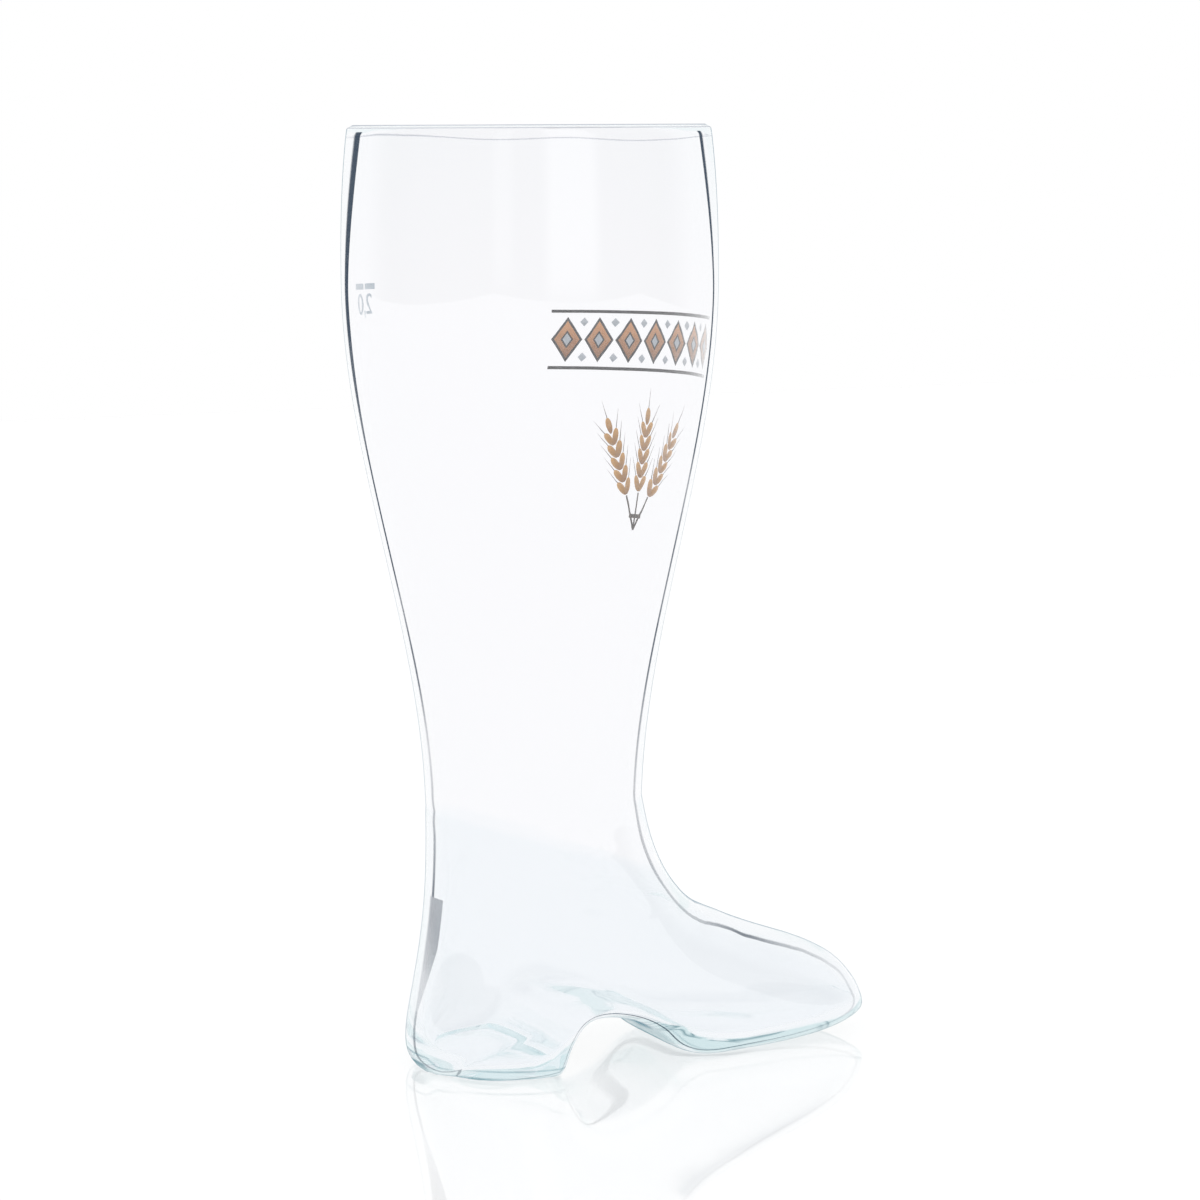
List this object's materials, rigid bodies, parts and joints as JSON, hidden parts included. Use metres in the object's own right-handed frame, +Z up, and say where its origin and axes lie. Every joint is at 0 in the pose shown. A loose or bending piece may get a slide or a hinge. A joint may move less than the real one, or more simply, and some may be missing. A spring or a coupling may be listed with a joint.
{
  "type": "beer boot glass",
  "caption": "Boot-shaped drinking glass: a tall flared leg fused to a hollow heeled foot, with a fired enamel print and fill-line bars.",
  "frame": {"origin": "in the middle of the heel's flat base, on the table; the leg's axis stands 24 mm ahead of it", "axes": "+X points to the toe, +Z up along the leg's axis, +Y to the left of someone who wears the boot"},
  "size_m": [0.2012, 0.1364, 0.343],
  "materials": {
    "leg_glass": "polished",
    "foot_glass": "polished",
    "copper_enamel": "gloss",
    "black_enamel": "gloss",
    "silver_enamel": "gloss",
    "gold_enamel": "gloss",
    "brown_enamel": "gloss",
    "pale_enamel": "gloss"
  },
  "bodies": {
    "root": {"leg_tube": "leg_glass", "foot_shell": "foot_glass", "print_lozenges": "copper_enamel", "print_frames": "black_enamel", "print_studs": "silver_enamel", "print_grains": "gold_enamel", "print_stalks": "brown_enamel", "capacity_bars": "pale_enamel"}
  },
  "joints": []
}
